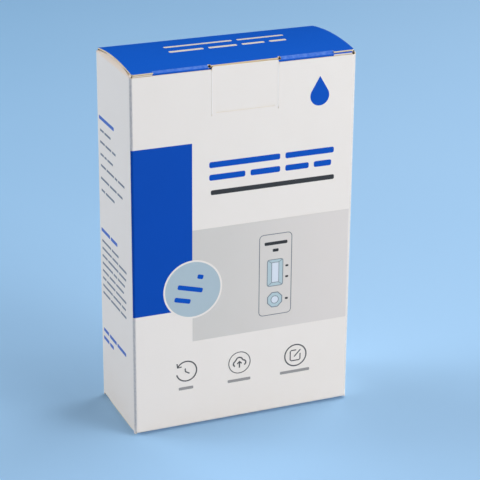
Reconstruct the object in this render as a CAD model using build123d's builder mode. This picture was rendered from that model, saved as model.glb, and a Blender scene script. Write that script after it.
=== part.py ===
from build123d import *
import math
import os

# Folding carton of coated paperboard, standing upright with its front towards -Y.
# The origin is the middle of its base, +Z is up, and all sizes are in millimetres. The carton
# is drawn from the fold lines of the base lid and lifted at the end to stand on its base.

# Carton, outside
width = 81.0
depth = 35.0
height = 130.0          # fold lines of the base lid to those of the top lid
board = 0.45            # thickness of the paperboard

# Folds, as outside radii
corner_fold = 0.9       # the four upright folds
lid_fold = 0.9          # where a lid leaves its wall, and where it turns into its tuck flap
top_flap_fold = 2.0     # side wall into dust flap at the top, which springs up
base_flap_fold = 1.0    # side wall into dust flap at the base, which is pressed flat

# Fits
clearance = 0.3         # between flaps that slide past each other
crease_gap = 0.12       # between a wall's cut edge and the lid that turns on it

# Lids
crown = 1.2             # rise of the top lid between its folds
lid_lift = 0.6          # tuck fold of the top lid higher at its right end than at its left
base_crown = 0.7        # base lid's middle below its folds
base_crown_run = 7.0    # from each fold to the flat that the carton stands on
lid_inset = 0.75        # lid in from each side wall
tuck_height = 13.0      # lid level to the free edge of the tuck flap
tuck_inset = 1.2        # tuck flap in from each outside wall face
tuck_corner = 6.0       # radius of its free corners
shoulder = 7.45         # length of the slit cut at each end of the tuck fold
raw_edge_inset = 0.3    # cut edge of the lid over the shoulders, back from the front face
lid_corner = 0.8        # radius of the lid's corners there

# Wall edges on the tuck side, below lid level
front_drop = 1.2        # front wall, at the top
back_drop = 0.0         # back wall, at the base

# Lock tab in the front wall
tab_width = 24.0
tab_slit_length = 15.9  # down from the wall's cut edge
tab_slit = 0.15
tab_rise = 1.0          # above the wall's cut edge
tab_corner = 0.8
tab_side_gap = 1.0      # tuck fold cut away beyond each side of the tab
tab_lip_gap = 0.05      # lid cut away beyond each side of the tab
crease_above_slit_end = 1.2
crease_inset = 1.5      # crease ends in from the slits
crease_height = 0.5
crease_sink = 0.12

# Dust flaps
flap_length = 24.0      # from the outside of the side wall
flap_shoulder = 8.0     # straight stretch of each edge beside the wall
flap_taper = 15.0       # degrees, hinge-side edge
flap_front_taper = 32.0 # degrees, tuck-side edge
flap_corner = 3.0
fin_inset = 0.3         # fold's end at the front corners, back from the front face

# Glue seam, inside the left wall at the back
seam_width = 12.0
seam_taper = 20.0       # degrees
seam_end_inset = 3.0    # in from the dust flap folds

# Worked out from the sizes above
half_width = width / 2
half_depth = depth / 2
tuck_radius = depth - board - clearance             # tuck flap's outer face, about the hinge line
tuck_face = half_depth - tuck_radius                # that face, level with the hinge line
fold_start = tuck_face + lid_fold
shoulder_x = half_width - lid_inset - shoulder
notch_x = tab_width / 2 + tab_side_gap
lip_x = tab_width / 2 + tab_lip_gap
half_span = (half_depth - lid_fold - fold_start) / 2
flap_level = -board - clearance                     # outer face of a dust flap, from lid level
flap_front = tuck_face + board + clearance
flap_back = half_depth - lid_fold - clearance
front_edge = height - front_drop
back_edge = height - lid_fold - crease_gap
top_fold_line = height + flap_level + crown - top_flap_fold
base_fold_line = board + clearance - base_crown + base_flap_fold

# Each end is drawn in a frame of its own, with z = 0 at the lid's fold lines, +Z outwards,
# the hinge line towards +Y and the tuck flap towards -Y. The base is the same end turned
# half a turn about X, so its lid hinges on the front wall.
TOP = Location((0, 0, height))
BASE = Location((0, 0, 0), (180, 0, 0))


def crowned(start, end, rise, run):
    """Edge between two level points of the YZ plane that rises over a run at each end."""
    radius = (run**2 + rise**2) / (2 * rise)
    top = start[1] + rise
    near = (start[0] - run, top)
    far = (end[0] + run, top)
    if near[0] - far[0] > board:
        RadiusArc(start, near, -radius)
        Line(near, far)
        return RadiusArc(far, end, -radius)
    return ThreePointArc(start, ((start[0] + end[0]) / 2, top), end)


def panel_profile(rise, run, run_out):
    """Section of the lid panel: hinge fold, crowned panel and a straight run to its cut edge."""
    hinge = (half_depth, -lid_fold)
    back = (half_depth - lid_fold, 0)
    front = (fold_start, 0)
    slope = math.atan2(2 * rise * run, run**2 - rise**2)
    with BuildSketch(Plane.YZ) as section:
        with BuildLine():
            RadiusArc(hinge, back, -lid_fold)
            crowned(back, front, rise, run)
            Line(front, (run_out, (run_out - fold_start) * math.tan(slope)))
            offset(amount=board, side=Side.LEFT)
        make_face()
    return section.sketch


def tuck_profile():
    """Section of the tuck fold and the tuck flap, which is bent to an arc about the hinge line."""
    drop = tuck_height - lid_fold
    swing = math.asin(drop / tuck_radius)
    middle = (half_depth - tuck_radius * math.cos(swing / 2), -lid_fold - tuck_radius * math.sin(swing / 2))
    tip = (half_depth - tuck_radius * math.cos(swing), -tuck_height)
    with BuildSketch(Plane.YZ) as section:
        with BuildLine():
            RadiusArc((fold_start, 0), (tuck_face, -lid_fold), -lid_fold)
            ThreePointArc((tuck_face, -lid_fold), middle, tip)
            offset(amount=board, side=Side.LEFT)
        make_face()
    return section.sketch


def spread(section, across, lift):
    """Section carried from left to right, turned about the hinge line so that its front rises by lift."""
    hinge = Location((0, half_depth, -lid_fold))
    turn = Location((0, 0, 0), (-math.degrees(lift / tuck_radius), 0, 0))
    risen = section.moved(hinge * turn * hinge.inverse())
    ends = [section.moved(Location((-across / 2, 0, 0))), risen.moved(Location((across / 2, 0, 0)))]
    return loft([Sketch(end.wrapped).face() for end in ends], ruled=True, mode=Mode.PRIVATE)


def tuck_lid(rise, run, lift, raw_edge, notched):
    """One lid in its end frame: panel, tuck fold cut free at both ends, and tuck flap."""
    lid_width = width - 2 * lid_inset
    tuck_width = width - 2 * tuck_inset
    # Seen from the tuck side, with its X along the tuck fold
    facing = Plane(origin=(0, 0, lift / 2), x_dir=(lid_width, 0, lift), z_dir=(0, -1, 0))
    above = Plane.XY.offset(-2 * lid_fold)
    through = 4 * lid_fold + lift

    with BuildPart() as tuck:
        add(spread(tuck_profile(), tuck_width, lift))
        with BuildSketch(facing) as outline:
            with Locations((0, -tuck_height / 2)):
                flap_shape = Rectangle(tuck_width, tuck_height)
            fillet(flap_shape.vertices().group_by(Axis.Y)[0], tuck_corner)
        extrude(amount=depth, both=True, mode=Mode.INTERSECT)
        # The fold is cut free over each shoulder
        with BuildSketch(facing):
            with Locations((shoulder_x, -lid_fold), (-shoulder_x - shoulder, -lid_fold)):
                Rectangle(shoulder, 2 * lid_fold, align=(Align.MIN, Align.MIN))
            if notched:
                with Locations((0, -lid_fold)):
                    Rectangle(2 * notch_x, 2 * lid_fold, align=(Align.CENTER, Align.MIN))
        extrude(amount=depth, both=True, mode=Mode.SUBTRACT)

    with BuildPart() as lid:
        add(spread(panel_profile(rise, run, raw_edge), lid_width, lift))
        with BuildSketch(above):
            with Locations((0, half_depth)):
                outline = Rectangle(lid_width, half_depth - raw_edge, align=(Align.CENTER, Align.MAX))
            fillet(outline.vertices().group_by(Axis.Y)[0], lid_corner)
        extrude(amount=through, mode=Mode.INTERSECT)
        # The panel stops at the fold between the shoulders, and behind the tab at the notch
        with BuildSketch(above):
            with Locations((0, fold_start)):
                Rectangle(2 * shoulder_x, depth, align=(Align.CENTER, Align.MAX))
            if notched:
                lip = fold_start - tuck_face
                with Locations((0, fold_start)):
                    Rectangle(2 * lip_x, lip, align=(Align.CENTER, Align.MAX), mode=Mode.SUBTRACT)
        extrude(amount=through, mode=Mode.SUBTRACT)
        add(tuck.part)
    return lid.part


def fold_profile(rise, fold, inset):
    """Section under the left dust flap's outer face and its fold, or inset from them by the board."""
    top = flap_level + rise - inset
    wall = -half_width + inset
    low = flap_level + rise - fold
    with BuildSketch(Plane.XZ) as section:
        with BuildLine():
            RadiusArc((wall, low), (fold - half_width, top), fold - inset)
            Polyline((fold - half_width, top), (0, top), (0, low), (wall, low))
        make_face()
    return section.sketch


def under_flap(rise, run, fold, inset):
    """Space under the left dust flap's outer face, or inset from it by the board."""
    level = flap_level - inset
    with BuildPart() as space:
        extrude(fold_profile(rise, fold, inset), amount=depth, both=True)
        with BuildSketch(Plane.YZ):
            with BuildLine():
                crowned((flap_back, level), (flap_front, level), rise, run)
                Polyline((flap_front, level), (flap_front, -depth), (flap_back, -depth), (flap_back, level))
            make_face()
        extrude(amount=width, both=True, mode=Mode.INTERSECT)
    return space.part


def dust_flaps(rise, run, fold):
    """Both dust flaps in the end frame, each from its fold line at the side wall."""
    reach = flap_length - flap_shoulder
    back_step = reach * math.tan(math.radians(flap_taper))
    front_step = reach * math.tan(math.radians(flap_front_taper))
    root = -half_width
    knee = root + flap_shoulder
    tip = root + flap_length
    with BuildPart() as flaps:
        add(under_flap(rise, run, fold, 0))
        add(under_flap(rise, run, fold, board), mode=Mode.SUBTRACT)
        with BuildSketch(Plane.XY.offset(-depth)):
            with BuildLine():
                Polyline((root, flap_back), (knee, flap_back), (tip, flap_back - back_step),
                         (tip, flap_front + front_step), (knee, flap_front), (root, flap_front), close=True)
            shape = make_face()
            fillet(shape.vertices().group_by(Axis.X)[-1], flap_corner)
        extrude(amount=2 * depth, mode=Mode.INTERSECT)
        mirror(about=Plane.YZ)
    return flaps.part


def corner_fins(rise, fold):
    """Ends of both top folds beside the lid, carried to the front corners, in the end frame."""
    side = lid_inset - crease_gap
    with BuildPart() as fins:
        extrude(fold_profile(rise, fold, 0), amount=half_depth - fin_inset)
        extrude(fold_profile(rise, fold, board), amount=half_depth, mode=Mode.SUBTRACT)
        with BuildSketch(Plane.XY.offset(-depth)):
            RectangleRounded(width, depth, corner_fold)
            Rectangle(width - 2 * side, depth, mode=Mode.SUBTRACT)
            with Locations((0, flap_front)):
                Rectangle(width, depth, align=(Align.CENTER, Align.MIN), mode=Mode.SUBTRACT)
        extrude(amount=2 * depth, mode=Mode.INTERSECT)
        mirror(about=Plane.YZ)
    return fins.part


def wall_tube():
    """Four walls, with rounded upright folds, cut back where the lids and dust flaps turn."""
    with BuildPart() as tube:
        with BuildSketch():
            RectangleRounded(width, depth, corner_fold)
            RectangleRounded(width - 2 * board, depth - 2 * board, corner_fold - board, mode=Mode.SUBTRACT)
        extrude(amount=height)
        # Cut edges of the front and back walls, then the side walls at their fold lines
        with BuildSketch(Plane.YZ):
            with Locations((-half_depth, front_edge)):
                Rectangle(half_depth, height, align=Align.MIN)
            with Locations((0, back_edge)):
                Rectangle(half_depth, height, align=Align.MIN)
            with Locations((flap_front, top_fold_line)):
                Rectangle(flap_back - flap_front, height, align=Align.MIN)
            with Locations((-flap_front, base_fold_line)):
                Rectangle(flap_back - flap_front, height, align=Align.MAX)
            with Locations((0, back_drop)):
                Rectangle(half_depth, height, align=(Align.MIN, Align.MAX))
        extrude(amount=width, both=True, mode=Mode.SUBTRACT)
        # The front wall ends above the fold of the base lid
        with BuildSketch(Plane.XZ.offset(half_depth - corner_fold)):
            Rectangle(width - 2 * (lid_inset - crease_gap), 2 * (lid_fold + crease_gap))
        extrude(amount=depth, mode=Mode.SUBTRACT)
    return tube.part


def glue_seam():
    """Glue flap folded from the back wall and bonded inside the left wall."""
    back = half_depth - board
    front = back - seam_width
    low = base_fold_line + seam_end_inset
    high = top_fold_line - seam_end_inset
    step = seam_width * math.tan(math.radians(seam_taper))
    with BuildPart() as seam:
        with BuildSketch(Plane.YZ.offset(-half_width + board)):
            with BuildLine():
                Polyline((back, low), (back, high), (front, high - step), (front, low + step), close=True)
            make_face()
        extrude(amount=board)
    return seam.part


# Carton body: one sheet, with four walls, four dust flaps, glue flap and lock tab
with BuildPart() as carton_body:
    add(wall_tube())
    add(dust_flaps(crown, half_span, top_flap_fold).moved(TOP))
    add(dust_flaps(base_crown, base_crown_run, base_flap_fold).moved(BASE))
    add(corner_fins(crown, top_flap_fold).moved(TOP))
    add(glue_seam())
    # The left wall's cut edge lies over the seam's fold at the back corner
    with BuildSketch():
        with Locations((-half_width, half_depth)):
            Rectangle(board, board, align=(Align.MIN, Align.MAX))
    extrude(amount=height, mode=Mode.SUBTRACT)
    # Lock tab: two slits, a low crease between them, and a top that stands above the wall
    with BuildSketch(Plane.XZ.offset(half_depth - 2 * board)):
        with Locations((-tab_width / 2, front_edge), (tab_width / 2, front_edge)):
            Rectangle(tab_slit, tab_slit_length, align=(Align.CENTER, Align.MAX))
    extrude(amount=4 * board, mode=Mode.SUBTRACT)
    with BuildSketch(Plane.XZ.offset(half_depth - board)):
        with Locations((0, front_edge)):
            tab_top = Rectangle(tab_width - tab_slit, 2 * tab_rise)
        fillet(tab_top.vertices().group_by(Axis.Y)[-1], tab_corner)
    extrude(amount=board)
    with BuildSketch(Plane.YZ):
        with Locations((-half_depth, front_edge - tab_slit_length + crease_above_slit_end)):
            Rectangle(2 * crease_sink, crease_height)
    extrude(amount=tab_width / 2 - crease_inset, both=True, mode=Mode.SUBTRACT)

# Top lid, which opens backwards about the back wall's top fold
lid = tuck_lid(crown, half_span, lid_lift, raw_edge_inset - half_depth, notched=True).moved(TOP)

# Base lid, which opens about the front wall's bottom fold
base_lid = tuck_lid(base_crown, base_crown_run, 0, tuck_face, notched=False).moved(BASE)

os.makedirs("parts", exist_ok=True)
for name, piece in (("carton_body", carton_body.part), ("lid", lid), ("base_lid", base_lid)):
    standing = piece.moved(Location((0, 0, base_crown)))
    standing.label = name
    export_step(standing, f"parts/{name}.step")
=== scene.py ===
import bmesh
import bpy
import math
from mathutils import Matrix, Vector
from mathutils.bvhtree import BVHTree


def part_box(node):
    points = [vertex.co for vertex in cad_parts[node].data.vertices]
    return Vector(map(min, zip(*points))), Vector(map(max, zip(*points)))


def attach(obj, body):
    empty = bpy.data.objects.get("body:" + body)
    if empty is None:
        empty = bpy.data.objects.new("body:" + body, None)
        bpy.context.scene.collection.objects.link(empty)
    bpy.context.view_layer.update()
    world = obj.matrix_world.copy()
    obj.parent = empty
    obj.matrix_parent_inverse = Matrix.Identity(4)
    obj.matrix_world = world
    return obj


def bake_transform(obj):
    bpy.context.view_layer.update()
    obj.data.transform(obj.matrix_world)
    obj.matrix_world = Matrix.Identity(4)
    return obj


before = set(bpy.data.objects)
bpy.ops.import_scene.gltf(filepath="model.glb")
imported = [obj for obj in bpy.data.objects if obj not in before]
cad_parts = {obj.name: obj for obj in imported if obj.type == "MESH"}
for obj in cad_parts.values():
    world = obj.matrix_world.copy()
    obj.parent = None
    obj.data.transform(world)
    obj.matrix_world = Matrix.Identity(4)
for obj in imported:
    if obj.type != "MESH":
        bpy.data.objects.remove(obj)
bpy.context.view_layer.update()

# Looks of a tuck-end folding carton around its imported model. Lengths are written in
# millimetres and turned into metres by MM, and colours are written as sRGB 0-255.
MM = 0.001

# Carton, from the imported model
body_low, body_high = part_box("carton_body")
lid_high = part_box("lid")[1]
HALF_WIDTH = body_high.x / MM
HALF_DEPTH = body_high.y / MM
LID_HALF_WIDTH = lid_high.x / MM
WALL_FOOT = body_low.z / MM  # lower edges of the walls, over the floor

# Folds of the carton
CORNER_FOLD = 0.9           # outside radius of the upright folds
LID_FOLD = 0.9              # outside radius of a lid's hinge fold and tuck fold
LID_LEVEL = WALL_FOOT + 130.0  # top lid at its two folds
CROWN = 1.2                 # rise of the top lid between them
LID_LIFT = 0.6              # tuck fold of the top lid higher at its right end
TUCK_FACE = -16.75          # front of the tuck flap
FOLD_START = TUCK_FACE + LID_FOLD  # where the lid begins to turn into it
SHOULDER = 32.3             # half the length of the tuck fold
SLIT = 12.0                 # slits of the lock tab, from the middle
NOTCH = 13.0                # half the length cut out of it behind the lock tab
SIDE_FOLD_TOP = WALL_FOOT + 128.45  # side wall into top dust flap
SIDE_FOLD_BASE = 1.75       # side wall into base dust flap
SHEET = 1.2                 # two glued layers of board are thinner than this

# Camera, matched to the photograph
CAMERA_AT = (-224.52, -555.74, 301.02)
CAMERA_YAW = 22.501         # degrees from +Y towards +X
CAMERA_PITCH = 21.807       # degrees below the horizon
CAMERA_ROLL = 0.45
CAMERA_LENS = 137.63
SENSOR = 36.0

# Lamps
LAMP_DISTANCE = 1.5         # from the middle of the carton, in metres
LAMP_SIZE = 0.9             # side of each square lamp, in metres

# Print
INK = 0.02                  # height of a printed layer over the board
INK_STEP = 0.015            # each layer over another stands this much higher
INK_SINK = 0.01             # layers reach this far into the board
FIELD_RIGHT = -19.0         # where the blue field ends and the grey band begins
BAND_RIGHT = 39.4

# Colours
COAT_WHITE = (244, 233, 219)
BOARD_INSIDE = (214, 210, 200)
BOARD_EDGE = (234, 212, 172)
# Cream of worn coat; on the dust flap folds it is partly a painted highlight
FOLD_CREAM = (246, 227, 208)
# Painted shade: grey painted along the upright folds
FOLD_SHADE_GREY = (213, 206, 199)
INK_BLUE = (15, 94, 208)
# Painted highlight on the lid's tuck fold
HIGHLIGHT_BLUE = (128, 166, 234)
FIELD_BLUE = (2, 75, 174)
BAND_GREY = (216, 208, 196)  # left end of the band
BAND_PALE = (228, 217, 205)  # right end of the band
BADGE_PALE = (178, 193, 196)
TEXT_BLUE = (3, 82, 184)
TEXT_DARK = (44, 42, 40)
LINE_GREY = (120, 122, 124)
CAPTION_GREY = (156, 151, 144)
ICON_GREY = (82, 80, 77)
# Painted highlight along the lock tab's slits
SLIT_HIGHLIGHT_WHITE = (248, 240, 229)
SIDE_BLUE = (64, 104, 190)
SIDE_GREY = (118, 122, 130)
DRAWING_GREY = (128, 136, 138)
CASSETTE_PALE = (222, 226, 229)
WINDOW_TEAL = (186, 203, 203)
FLOOR_BLUE = (172, 212, 249)
FLOOR_DEEP = (143, 190, 231)
FLOOR_BOUNCE = (178, 202, 238)
SKY_TINT = (0.7, 0.85, 1, 1)  # faint light from all round, linear


def linear(colour):
    """sRGB 0-255 as linear RGBA."""
    channels = []
    for value in colour:
        c = value / 255
        channels.append(c / 12.92 if c <= 0.04045 else ((c + 0.055) / 1.055) ** 2.4)
    return (*channels, 1.0)


def scaled(colour, factor):
    """Colour times a factor, up to white."""
    return tuple(min(255, c * factor) for c in colour)


class Shader:
    """Builds a material's node tree around one Principled BSDF."""

    def __init__(self, name, roughness, specular=0.4, sheen=0.0):
        self.material = bpy.data.materials.new(name)
        self.material.use_nodes = True
        self.tree = self.material.node_tree
        self.bsdf = self.tree.nodes["Principled BSDF"]
        self.set(self.bsdf, "Roughness", roughness)
        self.set(self.bsdf, "Specular IOR Level", specular)
        self.set(self.bsdf, "Sheen Weight", sheen)
        self.place = self.node("ShaderNodeTexCoord").outputs["Object"]

    def set(self, node, socket, value):
        if isinstance(value, bpy.types.NodeSocket):
            self.tree.links.new(value, node.inputs[socket])
        else:
            node.inputs[socket].default_value = value

    def node(self, kind, inputs=None, **settings):
        made = self.tree.nodes.new(kind)
        for key, value in settings.items():
            setattr(made, key, value)
        for socket, value in (inputs or {}).items():
            self.set(made, socket, value)
        return made

    def math(self, operation, a, b=0.0, c=0.0):
        return self.node("ShaderNodeMath", {0: a, 1: b, 2: c}, operation=operation).outputs[0]

    def noise(self, grain, detail=2.0, stretch=(1, 1, 1)):
        """Noise of about the given grain size in millimetres, from 0 to 1."""
        mapped = self.node("ShaderNodeMapping", {"Vector": self.place, "Scale": stretch}).outputs[0]
        settings = {"Vector": mapped, "Scale": 1 / (grain * MM), "Detail": detail}
        return self.node("ShaderNodeTexNoise", settings).outputs["Fac"]

    def ramp(self, value, low, high, to_low=0.0, to_high=1.0):
        """Maps low..high smoothly onto to_low..to_high."""
        limits = {"Value": value, "From Min": low, "From Max": high, "To Min": to_low, "To Max": to_high}
        return self.node("ShaderNodeMapRange", limits, interpolation_type="SMOOTHSTEP").outputs[0]

    def mix(self, factor, a, b):
        made = self.node("ShaderNodeMix", data_type="RGBA")
        for socket, value in ((0, factor), (6, a), (7, b)):
            self.set(made, socket, value)
        return made.outputs[2]

    def xyz(self):
        """Place on the carton in millimetres, as three sockets."""
        split = self.node("ShaderNodeSeparateXYZ", {0: self.place})
        return [self.math("DIVIDE", axis, MM) for axis in split.outputs]

    def bump(self, height, depth, strength):
        settings = {"Height": height, "Distance": depth * MM, "Strength": strength}
        self.set(self.bsdf, "Normal", self.node("ShaderNodeBump", settings).outputs[0])

    def result(self, colour, fibres, smooth, rough):
        """Sets the colour, and a roughness that follows the fibres, and gives the material."""
        self.set(self.bsdf, "Base Color", colour)
        self.set(self.bsdf, "Roughness", self.ramp(fibres, 0.3, 0.7, smooth, rough))
        return self.material


def paper_grain(shader, colour, mottle=0.03, fibre=0.25):
    """What board has all over: a clouded colour, fibres, and a bump of fibres and slight waves."""
    clouds = shader.noise(14, 3)
    fibres = shader.noise(fibre, 3, (1, 1, 0.45))
    blend = shader.math("MULTIPLY_ADD", clouds, 0.5, shader.math("MULTIPLY", fibres, 0.5))
    tone = shader.mix(blend, linear(scaled(colour, 1 - mottle)), linear(scaled(colour, 1 + mottle)))
    shader.bump(shader.math("MULTIPLY_ADD", clouds, 2.5, fibres), 0.012, 0.35)
    return tone, fibres


def fold_mask(shader):
    """Two masks, of the upright folds and of the dust flap folds: 1 along them, 0 on the panels."""
    x, y, z = shader.xyz()
    across = shader.math("SUBTRACT", shader.math("ABSOLUTE", x), HALF_WIDTH - CORNER_FOLD)
    along = shader.math("SUBTRACT", shader.math("ABSOLUTE", y), HALF_DEPTH - CORNER_FOLD)
    upright = shader.ramp(shader.math("MINIMUM", across, along), -0.1, 0.35)
    top = shader.math("MINIMUM", shader.ramp(z, SIDE_FOLD_TOP - 0.3, SIDE_FOLD_TOP + 0.7),
                      shader.ramp(across, -1.2, 0.3))
    base = shader.math("MINIMUM", shader.ramp(z, SIDE_FOLD_BASE, SIDE_FOLD_BASE - 0.7),
                       shader.ramp(across, -0.6, 0.3))
    base = shader.math("MINIMUM", base, shader.ramp(along, 0.0, -0.4))
    return upright, shader.math("MAXIMUM", top, base)


def white_coat():
    """Outside of the carton: coated white board, with painted shade on the upright folds, and cream on the
    dust flap folds that is partly worn coat and partly painted highlight.
    """
    shader = Shader("white_coat", 0.42)
    base, fibres = paper_grain(shader, COAT_WHITE, 0.012)
    upright, flap = fold_mask(shader)
    # Painted shade along the upright folds, in blotches, weaker near the walls' foot
    above_foot = shader.ramp(shader.xyz()[2], WALL_FOOT + 1.0, WALL_FOOT + 4.0, 0.15, 1.0)
    upright = shader.math("MULTIPLY", upright, above_foot)
    blotches = shader.ramp(shader.noise(0.9, 4), 0.42, 0.62)
    painted_fold_shade = shader.math("MULTIPLY", upright, shader.math("MULTIPLY_ADD", blotches, 0.3, 0.65))
    base = shader.mix(painted_fold_shade, base, linear(FOLD_SHADE_GREY))
    # Cream on the dust flap folds: partly worn coat, partly a painted highlight of the top fold, which faces
    # up
    wear_and_highlight = shader.math("MULTIPLY", flap, 0.85)
    return shader.result(shader.mix(wear_and_highlight, base, linear(FOLD_CREAM)), fibres, 0.36, 0.48)


def board_inside():
    """Unprinted inside of the board: uncoated and greyish."""
    shader = Shader("board_inside", 0.85, 0.2, 0.15)
    base, fibres = paper_grain(shader, BOARD_INSIDE, 0.04, 0.35)
    return shader.result(base, fibres, 0.78, 0.92)


def board_edge():
    """Cut edge of the board: bare cream fibres."""
    shader = Shader("board_edge", 0.9, 0.2, 0.2)
    base, fibres = paper_grain(shader, BOARD_EDGE, 0.07, 0.12)
    return shader.result(base, fibres, 0.82, 0.95)


def blue_coat():
    """Outside of the top lid: blue over the panel and the upper tuck flap, white below that."""
    shader = Shader("blue_coat", 0.5, 0.08)
    base, fibres = paper_grain(shader, INK_BLUE, 0.03)
    x, y, z = shader.xyz()
    inked = shader.ramp(z, LID_LEVEL - 4.6, LID_LEVEL - 4.4)
    # The tuck flap's ends, past the slits, are left bare
    past_slit = shader.ramp(shader.math("ABSOLUTE", x), SHOULDER + 0.1, SHOULDER + 0.2)
    below = shader.ramp(z, LID_LEVEL - 0.7, LID_LEVEL - 0.9)
    bare = shader.math("MINIMUM", past_slit, below)
    inked = shader.math("MINIMUM", inked, shader.math("SUBTRACT", 1.0, bare))
    # A painted highlight, paler blue, along the tuck fold's bend, except over the notch and past the slits
    bend = shader.math("MINIMUM", shader.ramp(y, FOLD_START - 0.05, FOLD_START - 0.35),
                       shader.ramp(z, LID_LEVEL - 0.85, LID_LEVEL - 0.35))
    bend = shader.math("MULTIPLY", bend, shader.ramp(shader.math("ABSOLUTE", x), NOTCH - 0.7, NOTCH))
    bend = shader.math("MULTIPLY", bend, shader.math("SUBTRACT", 1.0, past_slit))
    painted_highlight = shader.math("MULTIPLY", bend, shader.ramp(shader.noise(1.4, 3), 0.3, 0.7, 0.2, 0.5))
    base = shader.mix(painted_highlight, base, linear(HIGHLIGHT_BLUE))
    blotches = shader.ramp(shader.noise(0.5, 4), 0.55, 0.75)
    rim = shader.ramp(shader.math("ABSOLUTE", x), LID_HALF_WIDTH - 0.35, LID_HALF_WIDTH - 0.05)
    base = shader.mix(inked, linear(COAT_WHITE), base)
    wear_and_highlight = shader.math("MULTIPLY", shader.math("MULTIPLY", rim, blotches), 0.5)
    return shader.result(shader.mix(wear_and_highlight, base, linear(FOLD_CREAM)), fibres, 0.46, 0.58)


def ink(name, colour, roughness=0.4, specular=0.4):
    """A printed ink: its colour with the board's grain showing through."""
    shader = Shader(name, roughness, specular)
    base, fibres = paper_grain(shader, colour, 0.02)
    return shader.result(base, fibres, roughness - 0.05, roughness + 0.06)


def band_ink():
    """The front's grey band, which gets paler to the right."""
    shader = Shader("ink_band_grey", 0.4)
    left, fibres = paper_grain(shader, BAND_GREY, 0.015)
    across = shader.ramp(shader.xyz()[0], FIELD_RIGHT, BAND_RIGHT)
    return shader.result(shader.mix(across, left, linear(BAND_PALE)), fibres, 0.35, 0.46)


def dress_sheet(node, level, coat, inside, edge):
    """Gives each face of a folded sheet its side's material: outside, inside or cut edge.

    The point on the carton's axis at this level is on the inner side of every panel and flap of the sheet.
    """
    centre = Vector((0, 0, level)) * MM
    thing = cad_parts[node]
    mesh = thing.data
    mesh.materials.clear()
    for material in (coat, inside, edge):
        mesh.materials.append(material)
    tree = BVHTree.FromPolygons([v.co for v in mesh.vertices], [p.vertices for p in mesh.polygons])
    step = 0.01 * MM
    for face in mesh.polygons:
        middle = face.center
        inward = -face.normal
        _, normal, _, distance = tree.ray_cast(middle + inward * step, inward)
        if distance is None or distance > SHEET * MM or abs(normal.dot(inward)) < 0.5:
            face.material_index = 2
        else:
            face.material_index = 0 if face.normal.dot(middle - centre) > 0 else 1


def add_object(name, bm, material):
    """Object made from bm, which is freed, in the scene."""
    mesh = bpy.data.meshes.new(name)
    bm.to_mesh(mesh)
    bm.free()
    mesh.materials.append(material)
    piece = bpy.data.objects.new(name, mesh)
    bpy.context.scene.collection.objects.link(piece)
    return piece


# Places on the panels: u runs to the viewer's right, v upwards from the walls' lower edges, and lift is
# the height over the surface
def on_front(u, v, lift):
    """Front panel, carried round its left and right folds where u reaches them."""
    flat = HALF_WIDTH - CORNER_FOLD
    over = abs(u) - flat
    side = math.copysign(1, u)
    if over <= 0:
        return Vector((u, -HALF_DEPTH - lift, WALL_FOOT + v))
    turn = over / CORNER_FOLD
    reach = CORNER_FOLD + lift
    return Vector((side * (flat + reach * math.sin(turn)), CORNER_FOLD - HALF_DEPTH - reach * math.cos(turn),
                   WALL_FOOT + v))


def on_left(u, v, lift):
    """Left panel, seen from outside: u runs from the back towards the front."""
    return Vector((-HALF_WIDTH - lift, -u, WALL_FOOT + v))


def on_lid(u, v, lift):
    """Lid panel: u along X, v towards the back, on its crown. Its front rises towards the right end."""
    half_span = (HALF_DEPTH - LID_FOLD - FOLD_START) / 2
    middle = HALF_DEPTH - LID_FOLD - half_span
    radius = (half_span ** 2 + CROWN ** 2) / (2 * CROWN)
    lean = (v - middle) / radius
    reach = radius + lift
    left = Vector((u, middle + reach * math.sin(lean), LID_LEVEL + CROWN - radius + reach * math.cos(lean)))
    hinge = Vector((u, HALF_DEPTH, LID_LEVEL - LID_FOLD))
    turn = Matrix.Rotation(-LID_LIFT / (HALF_DEPTH - TUCK_FACE), 3, "X")
    return left.lerp(hinge + turn @ (left - hinge), 0.5 + u / (2 * LID_HALF_WIDTH))


def printed(name, shapes, place, layer, material, body):
    """One printed layer. A shape is a loop of (u, v) points, or an outer and an inner loop for a band."""
    top = INK + layer * INK_STEP
    bm = bmesh.new()
    for shape in shapes:
        banded = isinstance(shape, tuple)
        loops = shape if banded else (shape,)
        low = [[bm.verts.new(place(u, v, -INK_SINK) * MM) for u, v in loop] for loop in loops]
        high = [[bm.verts.new(place(u, v, top) * MM) for u, v in loop] for loop in loops]
        for lower, upper in zip(low, high):
            for i in range(len(lower)):
                bm.faces.new((lower[i - 1], lower[i], upper[i], upper[i - 1]))
        for rims in (low, high):
            if banded:
                outer, inner = rims
                for i in range(len(outer)):
                    bm.faces.new((outer[i - 1], outer[i], inner[i], inner[i - 1]))
            else:
                bm.faces.new(rims[0])
    bmesh.ops.recalc_face_normals(bm, faces=bm.faces)
    piece = add_object(name, bm, material)
    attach(piece, body)


def arc(u, v, radius, start, end, steps):
    """Points of an arc, in degrees from +u anticlockwise, both ends included."""
    turns = [math.radians(start + (end - start) * i / steps) for i in range(steps + 1)]
    return [(u + radius * math.cos(a), v + radius * math.sin(a)) for a in turns]


def circle(u, v, radius, steps=64):
    """Closed loop of points round a circle."""
    return arc(u, v, radius, 0, 360, steps)[:-1]


def octagon(u, v, radius):
    """Regular octagon with upright sides, by the distance to its corners."""
    return arc(u, v, radius, 22.5, 337.5, 7)


def rounded(left, right, low, high, radius, steps=5):
    """Rectangle with rounded corners."""
    corners = ((right, high, 0), (left, high, 90), (left, low, 180), (right, low, 270))
    points = []
    for u, v, start in corners:
        inner_u = u - math.copysign(radius, u - (left + right) / 2)
        inner_v = v - math.copysign(radius, v - (low + high) / 2)
        points += arc(inner_u, inner_v, radius, start, start + 90, steps)
    return points


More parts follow.
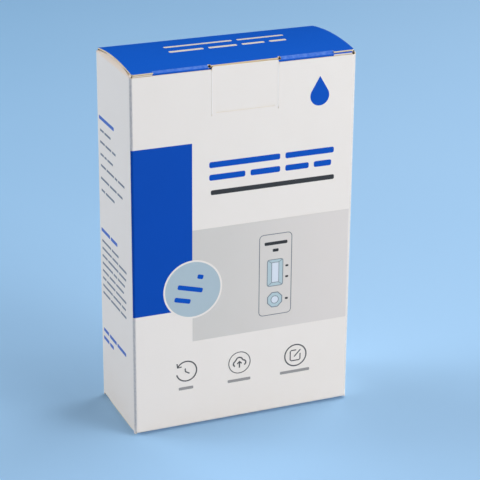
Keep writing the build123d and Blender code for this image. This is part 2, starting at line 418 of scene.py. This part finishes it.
def frame_band(left, right, low, high, radius, line):
    """Outline of a rounded rectangle as a band."""
    half = line / 2
    return (rounded(left - half, right + half, low - half, high + half, radius + half),
            rounded(left + half, right - half, low + half, high - half, max(radius - half, 0.01)))


def ring(u, v, radius, line):
    """Circle as a band of the given width."""
    return circle(u, v, radius + line / 2), circle(u, v, radius - line / 2)


def stroke(points, line):
    """Open line through points, drawn with the given width."""
    left, right = [], []
    for i, (u, v) in enumerate(points):
        before = points[max(i - 1, 0)]
        after = points[min(i + 1, len(points) - 1)]
        du, dv = after[0] - before[0], after[1] - before[1]
        length = math.hypot(du, dv)
        nu, nv = -dv / length * line / 2, du / length * line / 2
        left.append((u + nu, v + nv))
        right.append((u - nu, v - nv))
    return left + right[::-1]


def word_bars(start, end, v, height, words, gap):
    """A line of print as plain bars, one for each word, with the given relative lengths."""
    room = end - start - gap * (len(words) - 1)
    unit = room / sum(words)
    bars, at = [], start
    for word in words:
        bars.append(rounded(at, at + word * unit, v - height / 2, v + height / 2, height * 0.3, 3))
        at += word * unit + gap
    return bars


def turned(shape, u, v, degrees):
    """Shape turned about (u, v)."""
    c, s = math.cos(math.radians(degrees)), math.sin(math.radians(degrees))
    return [(u + (a - u) * c - (b - v) * s, v + (a - u) * s + (b - v) * c) for a, b in shape]


def front_field():
    """Blue field at the left of the front, carried most of the way round the fold."""
    top, low, steps = 104.1, 44.2, 8
    fold_start = HALF_WIDTH - CORNER_FOLD
    wrap = CORNER_FOLD * math.radians(66)
    left = [-fold_start - wrap * i / steps for i in range(steps + 1)][::-1]
    right = [(FIELD_RIGHT, low), (FIELD_RIGHT, top)]
    return [(u, low) for u in left] + right + [(u, top) for u in left[::-1]]


def droplet(u, v, radius, tip):
    """Drop with its point upwards."""
    lean = math.degrees(math.acos(radius / tip))
    return [(u, v + tip)] + arc(u, v, radius, 90 + lean, 450 - lean, 40)


def clock_icon(u, v):
    """Clock whose rim ends in an arrow."""
    line = 0.48
    rim = stroke(arc(u, v, 3.75, 150, 195 - 360, 44), line)
    head = stroke([(u - 3.5, v + 3.3), (u - 3.3, v + 1.75), (u - 1.8, v + 1.9)], line)
    hands = stroke([(u - 0.5, v + 1.1), (u - 0.4, v - 0.1), (u + 1.1, v - 1.0)], line)
    return [rim, head, hands]


def upload_icon(u, v):
    """Cloud with an arrow, in a ring."""
    line = 0.5
    cloud = (arc(u - 1.35, v - 0.35, 0.95, 250, 120, 10) + arc(u - 0.1, v + 0.75, 1.25, 160, 25, 12)
             + arc(u + 1.45, v - 0.2, 0.95, 90, -70, 10))
    shaft = stroke([(u, v - 2.0), (u, v + 0.35)], line)
    head = stroke([(u - 0.85, v - 0.45), (u, v + 0.4), (u + 0.85, v - 0.45)], line)
    return [ring(u, v, 4.05, 0.33), stroke(cloud, line), shaft, head]


def tick_icon(u, v):
    """Box with a pen stroke, in a ring."""
    line = 0.42
    box = [(u + 0.3, v + 2.0), (u - 1.6, v + 2.0), (u - 2.0, v + 1.6), (u - 2.0, v - 1.6), (u - 1.6, v - 2.0),
           (u + 1.4, v - 2.0), (u + 1.8, v - 1.6), (u + 1.8, v + 0.5)]
    pen = stroke([(u - 0.5, v - 0.5), (u + 1.9, v + 2.0)], 0.45)
    return [ring(u, v, 4.1, 0.48), stroke(box, line), pen]


def print_badge(white, blue):
    """Round badge with a pale rim, over the corner of the blue field, and three tilted bars on it."""
    u, v, steps, tilt = -18.85, 51.5, 96, -15
    rim = (circle(u, v, 10.75, steps), circle(u, v, 10.1, steps))
    printed("print_badge_ring", [rim], on_front, 2, white, "carton")
    printed("print_badge", [circle(u, v, 10.25, steps)], on_front, 1, ink("ink_badge", BADGE_PALE), "carton")
    bars = [rounded(-18.4, -16.2, 55.6, 57.2, 0.45, 3), rounded(-24.6, -15.2, 50.8, 52.5, 0.5, 3),
            rounded(-24.6, -18.6, 46.2, 47.9, 0.5, 3)]
    printed("print_badge_lines", [turned(bar, u, v, tilt) for bar in bars], on_front, 2, blue, "carton")


def print_front():
    """Everything printed on the front panel."""
    blue = ink("ink_blue", TEXT_BLUE, specular=0.1)
    grey = ink("ink_line_grey", LINE_GREY)
    dark = ink("ink_dark", TEXT_DARK)
    white = ink("ink_white", COAT_WHITE)
    field_blue = ink("ink_field_blue", FIELD_BLUE, specular=0.1)
    printed("print_front_field", [front_field()], on_front, 0, field_blue, "carton")
    low, high = 32.0, 73.1
    band = [(FIELD_RIGHT, low), (BAND_RIGHT, low), (BAND_RIGHT, high), (FIELD_RIGHT, high)]
    printed("print_front_band", [band], on_front, 0, band_ink(), "carton")
    print_badge(white, blue)
    title = word_bars(-12.9, 33.0, 95.7, 2.1, (10, 7), 1.9)
    title += word_bars(-12.9, 32.1, 91.2, 2.1, (6, 5, 4, 3), 1.9)
    printed("print_title_lines", title, on_front, 0, blue, "carton")
    printed("print_subtitle_line", word_bars(-12.3, 33.3, 85.8, 1.7, (1,), 0), on_front, 0, dark, "carton")
    printed("print_front_mark", [droplet(27.2, 115.6, 3.5, 6.9)], on_front, 0, blue, "carton")
    icons = clock_icon(-21.3, 21.0) + upload_icon(-1.4, 20.85) + tick_icon(20.1, 20.0)
    printed("print_icons", icons, on_front, 0, ink("ink_icon_grey", ICON_GREY), "carton")
    captions = (word_bars(-24.2, -18.8, 14.5, 1.1, (1,), 0) + word_bars(-5.85, 2.8, 14.1, 1.1, (1,), 0)
                + word_bars(14.2, 25.6, 13.8, 1.1, (1,), 0))
    printed("print_icon_captions", captions, on_front, 0, ink("ink_caption_grey", CAPTION_GREY), "carton")
    print_cassette(grey, dark)


def slit_highlights():
    """Painted highlight: pale strips along the two slits, on the lock tab's side and just over them, laid
    over most of each slit's shaded gap.
    """
    low, high, slant = 113.3, 128.2, 0.3
    strips = []
    for side in (-1, 1):
        outer, inner = side * (SLIT + 0.03), side * (SLIT - 0.28)
        strips.append([(outer, low), (inner, low + slant), (inner, high), (outer, high)])
    printed("lock_tab_slit_highlights", strips, on_front, 1, ink("ink_slit_highlight", SLIT_HIGHLIGHT_WHITE, 0.7, 0.2), "carton")


def print_cassette(grey, dark):
    """Line drawing of a test cassette, on the grey band."""
    middle, well = 11.7, 42.94
    window = (8.77, 14.63, 48.2, 58.1)
    left, right, low, high = window
    strip = (10.4, 13.1, 49.5, 57.0)
    rim = frame_band(5.75, 17.85, 37.3, 67.6, 1.5, 0.28)
    printed("print_cassette_rim", [rim], on_front, 1, grey, "carton")
    glass = [rounded(*window, 0.8), octagon(middle, well, 3.0)]
    printed("print_cassette_glass", glass, on_front, 1, ink("ink_teal", WINDOW_TEAL), "carton")
    pale = [rounded(*strip, 0.1), circle(middle, well, 1.25, 24)]
    printed("print_cassette_pale", pale, on_front, 2, ink("ink_pale", CASSETTE_PALE), "carton")
    lines = [frame_band(*window, 0.8, 0.25), frame_band(*strip, 0.1, 0.22),
             (octagon(middle, well, 3.1), octagon(middle, well, 2.75)), ring(middle, well, 1.4, 0.22)]
    # Short lines from the window's corners towards the strip
    corners = ((left, low, 1, 1), (right, low, -1, 1), (left, high, 1, -1), (right, high, -1, -1))
    for u, v, to_u, to_v in corners:
        lines.append(stroke([(u + to_u * 0.25, v + to_v * 0.25), (u + to_u * 1.55, v + to_v * 1.2)], 0.2))
    printed("print_cassette_lines", lines, on_front, 3, ink("ink_drawing", DRAWING_GREY), "carton")
    notes = [rounded(7.6, 16.2, 63.6, 64.8, 0.4, 3), rounded(10.7, 12.9, 61.0, 62.1, 0.3, 3)]
    notes += [rounded(15.6, 16.7, v - 0.35, v + 0.35, 0.2, 3) for v in (55.2, 51.1, 42.8)]
    printed("print_cassette_notes", notes, on_front, 1, dark, "carton")


def print_left():
    """Headings and small print on the left panel, as plain bars."""
    # Each row: its height, its start and end, and the relative lengths of its words
    heading_rows = ((106.2, -15.4, 0.4, (1,)), (65.0, -15.2, 1.9, (4, 3)), (26.7, -14.8, 9.3, (3, 4, 5)),
                    (23.5, -15.0, -4.2, (3, 2)))
    headings = []
    for v, start, end, words in heading_rows:
        headings += word_bars(start, end, v, 1.3, words, 0.9)
    upper_rows = ((101.8, -14.4, -3.2, (3, 5)), (97.5, -14.6, 1.8, (4, 5, 3)),
                  (93.0, -14.5, -1.3, (3, 2, 5)), (89.0, -14.2, 10.5, (4, 6, 2, 5)),
                  (84.3, -14.5, 8.3, (5, 4, 3)), (80.0, -14.1, -0.2, (2, 5)))
    small = []
    for v, start, end, words in upper_rows:
        small += word_bars(start, end, v, 0.8, words, 0.8)
    # The lower paragraph's rows are evenly spaced and start in line
    first, spacing, start = 61.0, 2.83, -14.6
    ends = (3.0, 11.2, 10.6, 9.2, 8.0, 10.4, 9.8, 10.2)
    splits = ((4, 3), (5, 3, 4), (3, 6, 4), (6, 2, 4), (4, 4, 5), (2, 5, 6), (5, 4, 2), (4, 5, 3))
    for i, (end, words) in enumerate(zip(ends, splits)):
        small += word_bars(start, end, first - spacing * i, 0.8, words, 0.8)
    printed("print_side_headings", headings, on_left, 0, ink("ink_side_blue", SIDE_BLUE), "carton")
    printed("print_side_lines", small, on_left, 0, ink("ink_side_grey", SIDE_GREY), "carton")


def print_lid():
    """Two lines of white print on the lid."""
    bars = word_bars(-20.6, 23.1, 5.0, 1.7, (10, 7), 1.9)
    bars += word_bars(-20.9, 21.6, -1.1, 1.7, (6, 5, 4, 3), 1.9)
    printed("print_lid_lines", bars, on_lid, 0, ink("ink_lid_white", COAT_WHITE), "top_lid")


def crease(name, side, hinge_z, up, material):
    """Skin of board over a lid's hinge: from the wall, round the fold, onto the lid."""
    proud = 0.015
    thickness = 0.2
    wall_foot, wall_end = 1.6, 0.4  # reach down the wall, and where the bend begins
    lap, steps, columns = 84, 10, 24  # degrees round the fold, in steps, and columns along it
    profiles = []
    for lift in (proud, proud - thickness):
        y_wall = side * (HALF_DEPTH + lift)
        profile = [(y_wall, hinge_z - up * wall_foot), (y_wall, hinge_z - up * wall_end)]
        for i in range(steps + 1):
            turn = math.radians(lap * i / steps)
            y = side * (HALF_DEPTH - LID_FOLD + (LID_FOLD + lift) * math.cos(turn))
            profile.append((y, hinge_z + up * (LID_FOLD + lift) * math.sin(turn)))
        profiles.append(profile)
    across = [-LID_HALF_WIDTH + LID_HALF_WIDTH * 2 * i / columns for i in range(columns + 1)]
    bm = bmesh.new()
    outer, back = [[[bm.verts.new(Vector((x, y, z)) * MM) for x in across] for y, z in profile]
                   for profile in profiles]
    for grid in (outer, back):
        for i in range(len(grid) - 1):
            for j in range(len(across) - 1):
                bm.faces.new((grid[i][j], grid[i][j + 1], grid[i + 1][j + 1], grid[i + 1][j]))
    for i in range(len(outer) - 1):
        for j in (0, -1):
            bm.faces.new((outer[i][j], outer[i + 1][j], back[i + 1][j], back[i][j]))
    for i in (0, -1):
        for j in range(len(across) - 1):
            bm.faces.new((outer[i][j], outer[i][j + 1], back[i][j + 1], back[i][j]))
    bmesh.ops.recalc_face_normals(bm, faces=bm.faces)
    piece = add_object(name, bm, material)
    for face in piece.data.polygons:
        face.use_smooth = True
    piece.data.set_sharp_from_angle(angle=math.radians(40))
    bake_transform(piece)


def floor():
    """Pale blue seamless paper, a little deeper towards the far left."""
    half_size = 3.0  # in metres
    segments = 24
    shader = Shader("floor_paper", 0.9, 0.0)
    x, y = shader.xyz()[:2]
    clouds = shader.noise(160, 2)
    fade = shader.ramp(shader.math("SUBTRACT", y, x), -250.0, 900.0)
    tone = shader.math("MULTIPLY_ADD", clouds, 0.12, fade)
    seen = shader.mix(tone, linear(FLOOR_BLUE), linear(FLOOR_DEEP))
    # Light that the paper throws back onto the carton is less blue, as from a small sheet in a pale room
    paths = shader.node("ShaderNodeLightPath").outputs
    direct = shader.math("MAXIMUM", paths["Is Camera Ray"], paths["Is Glossy Ray"])
    direct = shader.math("MAXIMUM", direct, paths["Is Transmission Ray"])
    shader.set(shader.bsdf, "Base Color", shader.mix(direct, linear(FLOOR_BOUNCE), seen))
    shader.bump(shader.noise(0.4, 2), 0.02, 0.2)
    bm = bmesh.new()
    bmesh.ops.create_grid(bm, x_segments=segments, y_segments=segments, size=half_size)
    piece = add_object("floor", bm, shader.material)


def bearing(azimuth, elevation):
    """Direction from angles in degrees: azimuth 0 is the front and 90 the right."""
    a, e = math.radians(azimuth), math.radians(elevation)
    return (math.sin(a) * math.cos(e), -math.cos(a) * math.cos(e), math.sin(e))


def softbox(name, azimuth, elevation, power):
    """White square lamp aimed at the middle of the carton."""
    data = bpy.data.lights.new(name, "AREA")
    data.shape = "SQUARE"
    data.size = LAMP_SIZE
    data.energy = power
    lamp = bpy.data.objects.new(name, data)
    aim = Vector((0, 0, LID_LEVEL / 2)) * MM
    towards = Vector(bearing(azimuth, elevation)).normalized()
    lamp.location = aim + towards * LAMP_DISTANCE
    lamp.rotation_mode = "QUATERNION"
    lamp.rotation_quaternion = towards.to_track_quat("Z", "Y")
    bpy.context.scene.collection.objects.link(lamp)


def lights():
    """Six lamps round the carton, with their watts, and a faint blue sky."""
    softbox("key", 35, 15, 11.5)
    softbox("key_right", 50, 15, 9.8)
    softbox("fill", -110, 15, 9.1)
    softbox("fill_back", -130, 35, 7.5)
    softbox("top", 85, 68, 7.4)
    softbox("back_right", 110, 42, 4.6)
    world = bpy.data.worlds.new("studio")
    bpy.context.scene.world = world
    world.use_nodes = True
    background = world.node_tree.nodes["Background"]
    background.inputs["Color"].default_value = SKY_TINT
    background.inputs["Strength"].default_value = 0.02


def camera():
    """Camera at the photograph's place, with its angle and field of view."""
    data = bpy.data.cameras.new("camera")
    data.sensor_width = SENSOR
    data.lens = CAMERA_LENS
    data.clip_start = 0.01
    data.clip_end = 20.0
    eye = bpy.data.objects.new("camera", data)
    turn = (Matrix.Rotation(math.radians(-CAMERA_YAW), 4, "Z")
            @ Matrix.Rotation(math.radians(90 - CAMERA_PITCH), 4, "X")
            @ Matrix.Rotation(math.radians(CAMERA_ROLL), 4, "Z"))
    eye.matrix_world = Matrix.Translation(Vector(CAMERA_AT) * MM) @ turn
    bpy.context.scene.collection.objects.link(eye)
    bpy.context.scene.camera = eye


white = white_coat()
blue = blue_coat()
inside = board_inside()
edge = board_edge()
dress_sheet("carton_body", 65, white, inside, edge)
dress_sheet("lid", 110, blue, inside, edge)
dress_sheet("base_lid", 20, white, inside, edge)
print_front()
slit_highlights()
print_left()
print_lid()
crease_blue = ink("ink_crease_blue", INK_BLUE, 0.52, 0.08)
crease("lid_crease", 1, LID_LEVEL - LID_FOLD, 1, crease_blue)
crease("base_crease", -1, WALL_FOOT + LID_FOLD, -1, white)
floor()
lights()
camera()
bpy.context.scene.view_settings.view_transform = "Standard"
